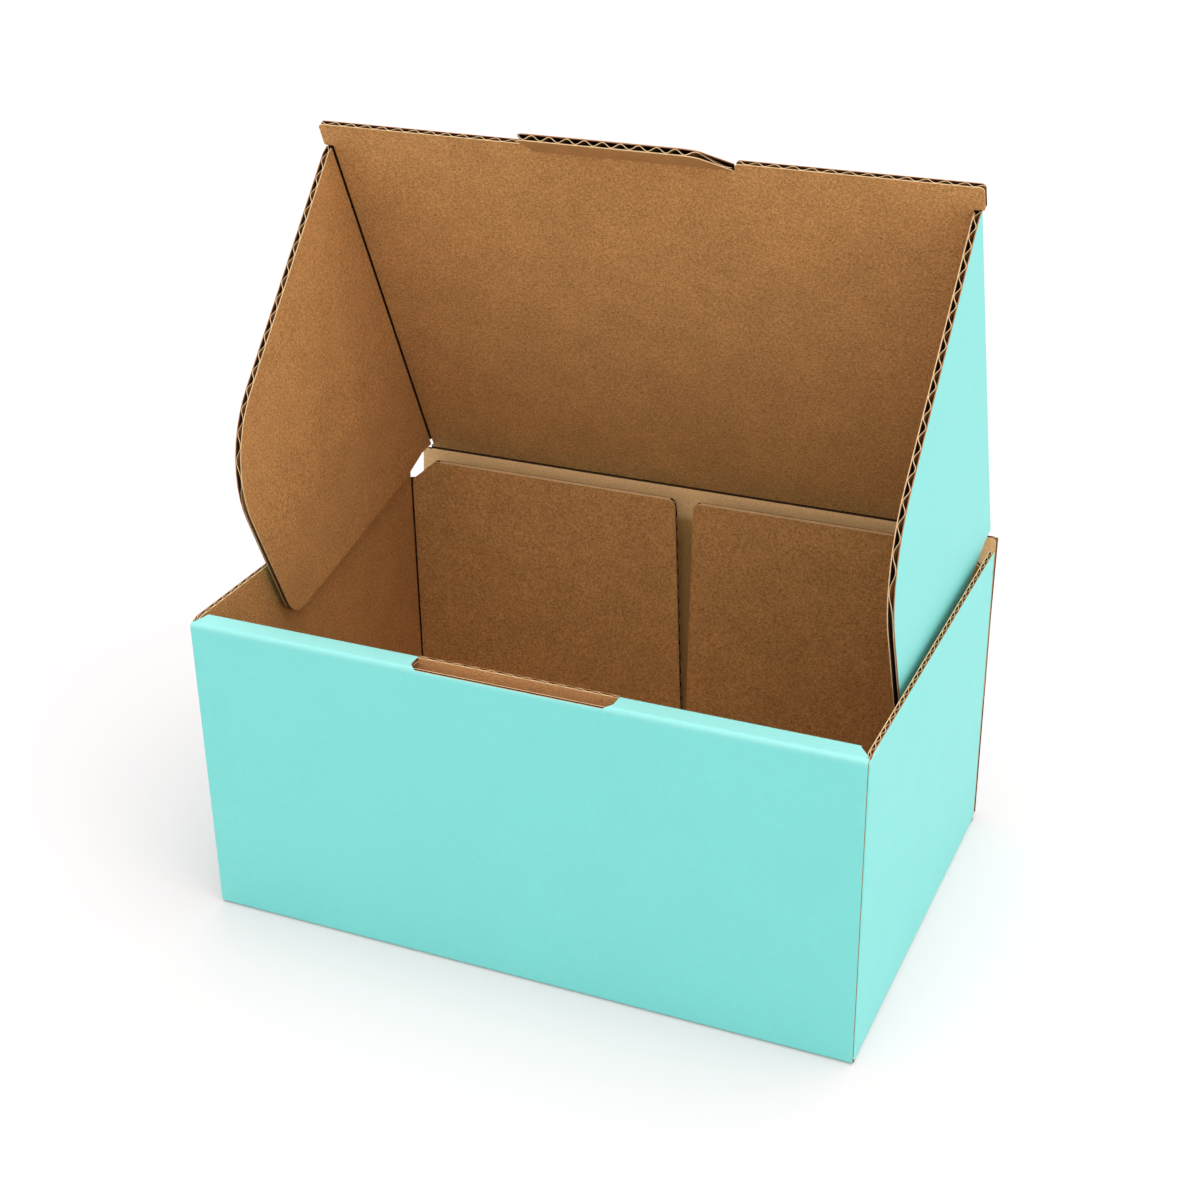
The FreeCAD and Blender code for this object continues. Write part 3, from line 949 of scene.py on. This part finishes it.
class MAILER_OT_back_wall(bpy.types.Operator):
    """Back wall, held only by its bottom fold"""

    bl_idname = "mailer.back_wall"
    bl_label = "Back wall"

    def execute(self, context):
        s = sizes()
        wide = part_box("back_wall")[1].x
        top = run_between("back_wall_fold", "lid_fold")
        hinge = top - s.board / 2 - s.gap
        ear_top = top - s.board / 2 - s.ear_drop
        ear = wide - s.wall_taper
        step = ear - s.ear_step
        corners = [
            (-wide, 0, 0), (wide, 0, 0), (ear, ear_top, s.corner), (step, ear_top, 0),
            (step, hinge, 0), (-step, hinge, 0), (-step, ear_top, 0), (-ear, ear_top, s.corner)]
        corners = [(x, -y, radius) for x, y, radius in corners]
        outer, inner = liners("back_wall", corners, s.board, finish="pressed")
        waves = fluting(
            "back_wall_fluting", -wide + s.gap, wide - s.gap, -ear_top + LIP, -CLEAR, 0, s.pitch,
            [((wide - HAIR, 0, 0), (ear_top, -s.wall_taper, 0)),
             ((-wide + HAIR, 0, 0), (-ear_top, -s.wall_taper, 0))])
        finish_panel("back_wall", "printed_board", (outer, inner, waves), wall_frame())
        fold = joint_place("back_wall_fold")
        lean = math.atan2(*(joint_place("lid_fold") - fold).yz)
        fold_skin(
            "base_fold_skin", fold, (1, 0, 0), fold.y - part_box("tray")[1].y,
            (0, 0, -1), math.pi / 2 - lean, s.board / 2, (-wide + s.fold, wide - s.fold))
        return {"FINISHED"}


class MAILER_OT_lid(bpy.types.Operator):
    """Lid panel, stepped in at the wings and at the tuck tab"""

    bl_idname = "mailer.lid"
    bl_label = "Lid"

    def execute(self, context):
        s = sizes()
        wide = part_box("lid")[1].x
        along = joint_axis("right_wing_fold")
        slope = abs(along.x) / Vector((along.y, along.z)).length
        rear = joint_place("right_wing_fold").x - s.gap
        start = s.wing_start + HAIR
        front = rear + slope * start
        inset = run_between("lid_fold", "tuck_tab_fold") - s.board / 2 - s.gap
        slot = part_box("tuck_tab")[1].x + 3 * s.gap
        end = s.lid_length
        right = [
            (rear, 0, 0), (front, start, 0), (wide, start, s.step_corner), (wide, end, s.corner),
            (slot, end, s.corner), (slot, inset, 0)]
        corners = [(x, -y, r) for x, y, r in right]
        corners += [(-x, -y, r) for x, y, r in reversed(right)]
        outer, inner = liners("lid", corners, s.board)
        waves = [fluting("waves", -rear, rear, -inset, -2 * CLEAR, 0, s.pitch, [
            ((front, -start, 0), (start, front - rear, 0)),
            ((-front, -start, 0), (-start, front - rear, 0))])]
        for left, right_x in ((slot, wide), (-wide, -slot)):
            waves.append(fluting(
                "waves", left + 2 * HAIR, right_x - 2 * HAIR, -end + LIP, -start, 0, s.pitch,
                trims_of(rounded([
                    (left, -end, s.corner), (right_x, -end, s.corner),
                    (right_x, 0, 0), (left, 0, 0)]))))
        waves = joined("lid_fluting", waves)
        finish_panel("lid", "printed_board", (outer, inner, waves), lid_frame())
        self.folds(s, rear)
        return {"FINISHED"}

    def folds(self, s, rear):
        """The liners that run on round the lid's fold."""
        fold = joint_place("lid_fold")
        wall_out = outward(wall_frame())
        turn = wall_out.angle(outward(lid_frame()))
        fold_skin(
            "lid_fold_skin", fold, (1, 0, 0), s.board / 2 + s.gap,
            wall_out, turn, s.board / 2, (-rear, rear))
        under = s.board / 2 - HAIR
        reach = run_between("back_wall_fold", "lid_fold") - s.board / 2 - s.gap
        low = wall_frame() @ Vector((0, -reach, -under))
        high = lid_frame() @ Vector((0, 0, -under))
        valley = (low + high) / 2
        valley += (fold - valley).normalized() * s.crease_depth
        # Painted shade: the crease skin takes the dark crease finish for the shade in the valley
        # between back wall and lid.
        crease_skin("lid_crease_skin", (low, valley, high),
                    rear + s.crease_reach, "crease")


class MAILER_OT_wings(bpy.types.Operator):
    """Side wings of the lid"""

    bl_idname = "mailer.wings"
    bl_label = "Wings"

    def execute(self, context):
        s = sizes()
        deep, rear = s.wing_depth, s.wing_rear
        right = [
            (0, s.wing_start, s.wing_tip_radius), (0, rear / 2, 0), (s.wing_rear_drop, rear, 0),
            (s.wing_rear_straight, rear + s.wing_rear_slant, s.wing_rear_radius),
            (deep, s.wing_rear_run, s.wing_rear_radius),
            (deep, s.wing_start - s.wing_front_run, s.wing_front_radius),
            (s.wing_shoulder, s.wing_start - s.wing_shoulder_slant, s.wing_shoulder_radius)]
        corners = [(x, -y, r) for x, y, r in right]
        inside = [(max(x, s.crease), y, r) for x, y, r in corners]
        hull = [corners[0], (0, -rear, 0), *corners[3:]]
        lift = Matrix.Translation((0, 0, s.board / 2))
        for side, mirror in SIDES:
            body = side + "_wing"
            outer, inner = liners(body, corners, s.board, inside)
            waves = self.waves(s, body, hull)
            finish_panel(
                body, "printed_board", (outer, inner, waves), mirror @ wing_frame() @ lift)
            self.fold(s, body, mirror is MIRROR)
        return {"FINISHED"}

    def waves(self, s, name, hull):
        """Fluting along the wing, cut back to its outline; flutes run along the crease."""
        planes = trims_of(rounded([(-y, x, r) for x, y, r in reversed(hull)]))
        return fluting(
            name + "_fluting", 0, s.wing_depth, -s.wing_start, 0, 0, s.pitch,
            [(QUARTER @ point, QUARTER @ out) for point, out in planes])

    def fold(self, s, body, mirrored):
        """The printed liner round the fold between lid and wing."""
        down, along, _ = wing_frame().to_3x3().col
        fold_skin(
            body + "_fold_skin", joint_place("right_wing_fold"), -along,
            s.gap, -down, -math.pi / 2, s.board,
            (s.wing_rear / 2, s.wing_start - SKIN_END), mirrored)


class MAILER_OT_tuck_tab(bpy.types.Operator):
    """Tuck tab on the lid's front edge"""

    bl_idname = "mailer.tuck_tab"
    bl_label = "Tuck tab"

    def execute(self, context):
        s = sizes()
        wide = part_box("tuck_tab")[1].x
        narrow = wide - s.tab_taper
        corners = [
            (-narrow, -s.tab_length, s.tab_radius), (narrow, -s.tab_length, s.tab_radius),
            (wide, 0, 0), (-wide, 0, 0)]
        outer, inner = liners("tuck_tab", corners, s.board)
        waves = fluting(
            "tuck_tab_fluting", -wide, wide, -s.tab_length, -CLEAR, 0, s.pitch,
            trims_of(rounded(corners)))
        finish_panel("tuck_tab", "printed_board", (outer, inner, waves), tab_frame())
        lid_out = outward(lid_frame())
        fold_skin(
            "tab_fold_skin", joint_place("tuck_tab_fold"), (1, 0, 0),
            s.board / 2 + s.gap, lid_out, lid_out.angle(outward(tab_frame())), s.board / 2,
            (-wide, wide))
        under = s.board / 2 - HAIR
        inset = run_between("lid_fold", "tuck_tab_fold") - s.board / 2
        low = lid_frame() @ Vector((0, s.gap - inset, -under))
        high = tab_frame() @ Vector((0, 0, -under))
        crease_skin("tab_crease_skin", (low, (low + high) / 2, high),
                    wide + s.crease_reach / 2, "kraft")
        return {"FINISHED"}


class MAILER_OT_rear_flaps(bpy.types.Operator):
    """The side walls' rear flaps"""

    bl_idname = "mailer.rear_flaps"
    bl_label = "Rear flaps"

    def execute(self, context):
        s = sizes()
        low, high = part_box("right_rear_flap")
        fold_at = joint_place("right_rear_flap_fold").x
        reach, foot, head = fold_at - s.flap_gap / 2, low.z, high.z
        corners = [
            (0, foot, 0), (fold_at - s.flap_gap_low / 2, foot, 0),
            (reach, head, s.flap_corner_radius),
            (s.flap_corner_run, head, s.flap_corner_radius), (0, head - s.flap_corner_drop, 0)]
        planes = trims_of(rounded(corners))
        back = QUARTER.inverted()
        core = s.board / 2 - s.liner
        start, end = s.flap_corner_run + 2 * CLEAR, reach - s.board
        lift = Matrix.Translation((0, 0, s.board / 2))
        for side, mirror in SIDES:
            body = side + "_rear_flap"
            outer, inner = liners(body, corners, s.board)
            waves = fluting(
                body + "_fluting", -head, -foot, 0, fold_at, 0, s.pitch,
                [(back @ point, back @ out) for point, out in planes])
            place(waves, QUARTER)
            cap = outline("cap", [
                (start, -core, 0), (end, -core, 0), (end, core, 0), (start, core, 0)],
                -head + LIP)
            thicken(cap, s.medium, [material("cut edge")] * 3, (0, 0, -1))
            place(cap, Matrix.Rotation(math.pi / 2, 4, "X"))
            waves = joined(body + "_fluting", [waves, cap])
            finish_panel(
                body, "kraft_board", (outer, inner, waves), mirror @ flap_frame() @ lift)
            fold_skin(
                body + "_fold_skin", joint_place("right_rear_flap_fold"),
                (0, 0, 1), s.gap, (1, 0, 0), math.pi / 2, s.board,
                (SKIN_END, head - s.flap_corner_drop), mirror is MIRROR)
        return {"FINISHED"}


class MAILER_OT_stage(bpy.types.Operator):
    """Floor, plain light and the camera"""

    bl_idname = "mailer.stage"
    bl_label = "Stage"

    def seen(self, tree):
        """1 where the camera sees something itself or in a reflection, 0 for other light."""
        paths = tree.nodes.new("ShaderNodeLightPath")
        return math_node(
            tree, "MAXIMUM", paths.outputs["Is Camera Ray"], paths.outputs["Is Glossy Ray"])

    def floor(self):
        """A pale floor that shows as white to the camera and keeps the shadow."""
        nothing_selected()
        bpy.ops.mesh.primitive_plane_add(size=12, location=(0, 0, -2 * HAIR))
        ground = named("floor")
        made = bpy.data.materials.new("floor")
        made.use_nodes = True
        tree = made.node_tree
        shader = tree.nodes["Principled BSDF"]
        shader.inputs["Roughness"].default_value = 0.9
        shader.inputs["Specular IOR Level"].default_value = 0.0
        seen = self.seen(tree)
        pale = mixed(tree, seen, (0.8, 0.8, 0.8), (0.67, 0.62, 0.62))
        tree.links.new(pale, shader.inputs["Base Color"])
        glow = math_node(tree, "MULTIPLY", seen, 0.12)
        shader.inputs["Emission Color"].default_value = (1, 1, 1, 1)
        tree.links.new(glow, shader.inputs["Emission Strength"])
        ground.data.materials.append(made)

    def sky(self):
        """Plain grey light from everywhere, white behind the floor."""
        world = bpy.context.scene.world or bpy.data.worlds.new("studio")
        bpy.context.scene.world = world
        world.use_nodes = True
        tree = world.node_tree
        background = tree.nodes["Background"]
        strength = math_node(tree, "MULTIPLY_ADD", self.seen(tree), 0.40, 0.60)
        background.inputs["Color"].default_value = (1, 1, 1, 1)
        tree.links.new(strength, background.inputs["Strength"])

    def lamp(self, name, source, spread, level):
        """A broad even light from a direction; at level 1 it shows a white face as white."""
        bpy.ops.object.light_add(type="SUN", location=Vector(source) * 2)
        light = bpy.context.object
        light.name = name
        light.data.angle = math.radians(spread)
        light.data.energy = level * math.pi
        light.rotation_euler = (-Vector(source)).to_track_quat("-Z", "Y").to_euler()

    def camera(self):
        """The camera: in front, to the right and above."""
        bpy.ops.object.camera_add(location=(0.26813, -0.61212, 0.45184))
        camera = bpy.context.object
        way = Vector((-0.36071, 0.81582, -0.45202))
        roll = Matrix.Rotation(-0.0161, 4, "Z")
        camera.rotation_mode = "QUATERNION"
        turn = way.to_track_quat("-Z", "Y").to_matrix().to_4x4() @ roll
        camera.rotation_quaternion = turn.to_quaternion()
        camera.data.sensor_width = 36
        camera.data.lens = 60.97
        camera.data.clip_start = 0.01
        bpy.context.scene.camera = camera

    def execute(self, context):
        nothing_selected()
        self.floor()
        self.sky()
        self.lamp("back", (0.10, 0.26, 0.95), 60, 0.40)
        self.lamp("top", (0.26, -0.34, 0.90), 70, 0.48)
        self.lamp("front", (0.0, -0.99, 0.12), 50, 0.08)
        self.lamp("side", (0.98, -0.18, 0.10), 50, 0.32)
        self.camera()
        context.scene.view_settings.view_transform = "Standard"
        return {"FINISHED"}


class MAILER_PT_panel(bpy.types.Panel):
    """The mailer box in the sidebar"""

    bl_label = "Mailer box"
    bl_space_type = "VIEW_3D"
    bl_region_type = "UI"
    bl_category = "Mailer"

    def draw(self, context):
        layout = self.layout
        for group_of in (context.scene.mailer_sizes, context.scene.mailer_colours):
            for name in group_of.__annotations__:
                layout.prop(group_of, name)
        for operator in OPERATORS:
            layout.operator(operator.bl_idname)


OPERATORS = (
    MAILER_OT_stage, MAILER_OT_tray, MAILER_OT_back_wall, MAILER_OT_rear_flaps, MAILER_OT_lid,
    MAILER_OT_wings, MAILER_OT_tuck_tab,
)
CLASSES = (MailerSizes, MailerColours, *OPERATORS, MAILER_PT_panel)


def register():
    """Register the add-on's classes and properties."""
    for cls in CLASSES:
        bpy.utils.register_class(cls)
    bpy.types.Scene.mailer_sizes = PointerProperty(type=MailerSizes)
    bpy.types.Scene.mailer_colours = PointerProperty(type=MailerColours)


def unregister():
    """Remove them again."""
    del bpy.types.Scene.mailer_colours
    del bpy.types.Scene.mailer_sizes
    for cls in reversed(CLASSES):
        bpy.utils.unregister_class(cls)


def main():
    """Build every piece."""
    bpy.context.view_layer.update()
    register()
    for operator in OPERATORS:
        group_name, name = operator.bl_idname.split(".")
        getattr(getattr(bpy.ops, group_name), name)()


if __name__ == "__main__":
    main()
